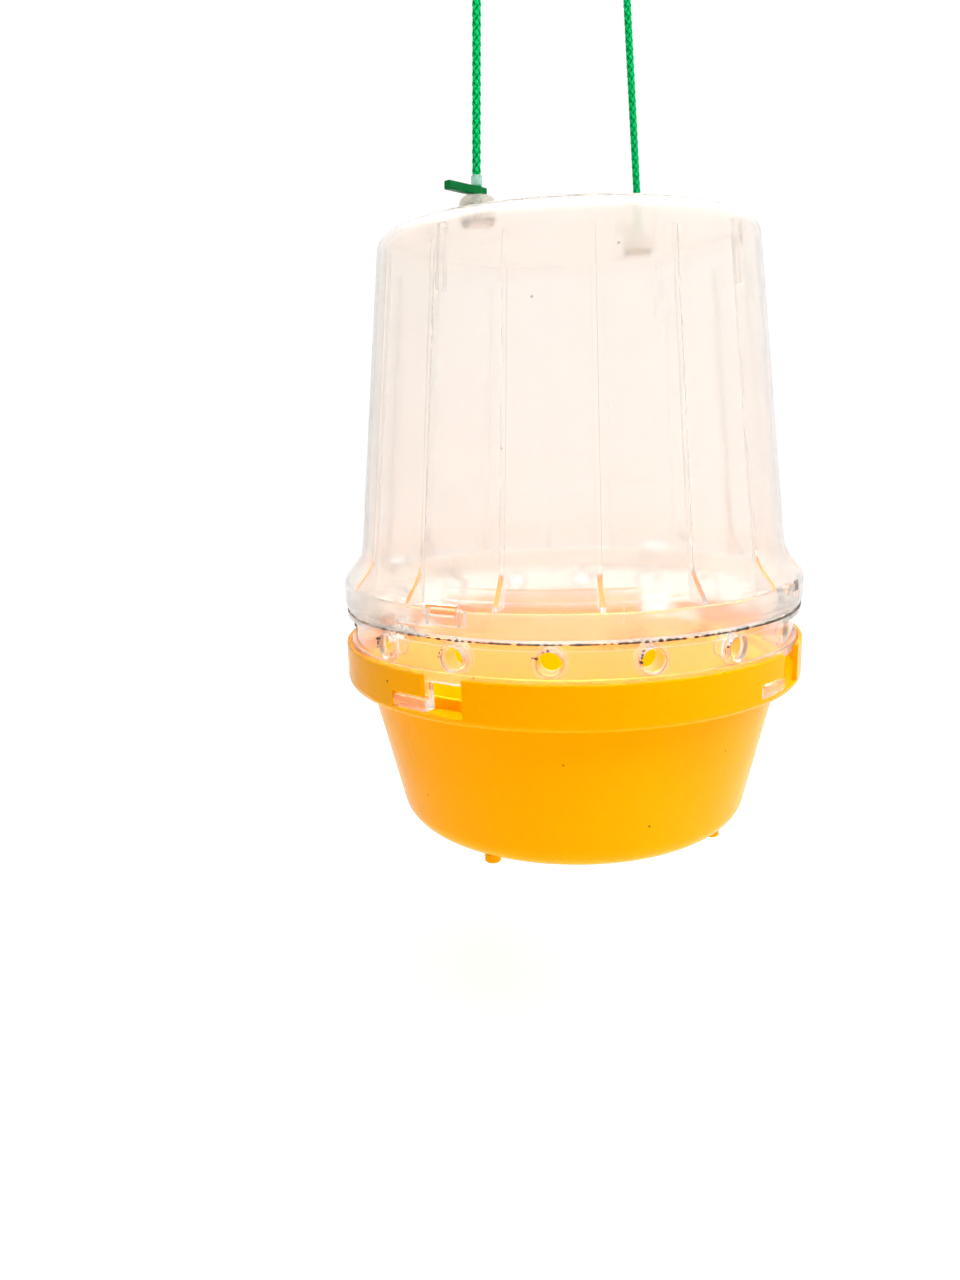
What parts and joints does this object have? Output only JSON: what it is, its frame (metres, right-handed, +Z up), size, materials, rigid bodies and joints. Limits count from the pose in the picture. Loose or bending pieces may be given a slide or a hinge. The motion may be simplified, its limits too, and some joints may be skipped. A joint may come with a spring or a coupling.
{
  "type": "wasp trap",
  "caption": "Hanging wasp trap: round bait bowl, entry ring with funnel holes and tall clear dome, joined by bayonets and hung on a cord with toggles.",
  "frame": {"origin": "the point that the cord hangs from, on the trap's middle axis", "axes": "+Z up along the middle axis, the two hanger posts on the X axis"},
  "size_m": [0.176, 0.176, 0.3598],
  "materials": {
    "dome_plastic": "clear milky moulded plastic, lightly scuffed",
    "ring_plastic": "clear moulded plastic",
    "post_plastic": "clear moulded plastic, greyish in the thick",
    "bowl_plastic": "deep yellow translucent moulded plastic",
    "toggle_plastic": "dark green moulded plastic",
    "sleeve_plastic": "pale mint translucent sleeve",
    "cord_braid": "braided synthetic cord"
  },
  "bodies": {
    "dome": {"dome": "dome_plastic", "left_hanger_post": "post_plastic", "right_hanger_post": "post_plastic", "hanging_cord": "cord_braid", "left_cord_sleeve": "sleeve_plastic", "right_cord_sleeve": "sleeve_plastic"},
    "left_toggle": {"left_toggle": "toggle_plastic"},
    "right_toggle": {"right_toggle": "toggle_plastic"},
    "entry_ring": {"entry_ring": "ring_plastic", "entry_funnel_01": "ring_plastic", "entry_funnel_02": "ring_plastic", "entry_funnel_03": "ring_plastic", "entry_funnel_04": "ring_plastic", "entry_funnel_05": "ring_plastic", "entry_funnel_06": "ring_plastic", "entry_funnel_07": "ring_plastic", "entry_funnel_08": "ring_plastic", "entry_funnel_09": "ring_plastic", "entry_funnel_10": "ring_plastic", "entry_funnel_11": "ring_plastic", "entry_funnel_12": "ring_plastic", "entry_funnel_13": "ring_plastic", "entry_funnel_14": "ring_plastic", "entry_funnel_15": "ring_plastic", "entry_funnel_16": "ring_plastic"},
    "bowl": {"bowl": "bowl_plastic"}
  },
  "joints": [
    {"name": "left_toggle_turn", "type": "hinge", "parent": "dome", "child": "left_toggle", "pos_m": [-0.0466, 0, -0.1255], "axis": [0, 0, 1], "range_deg": [0, 90]},
    {"name": "right_toggle_turn", "type": "hinge", "parent": "dome", "child": "right_toggle", "pos_m": [0.0466, 0, -0.1255], "axis": [0, 0, 1], "range_deg": [0, 90]},
    {"name": "ring_twist", "type": "hinge", "parent": "dome", "child": "entry_ring", "pos_m": [0, 0, -0.262], "axis": [0, 0, 1], "range_deg": [-9.5, 0]},
    {"name": "bowl_twist", "type": "hinge", "parent": "entry_ring", "child": "bowl", "pos_m": [0, 0, -0.29], "axis": [0, 0, 1], "range_deg": [-9.5, 0]}
  ]
}
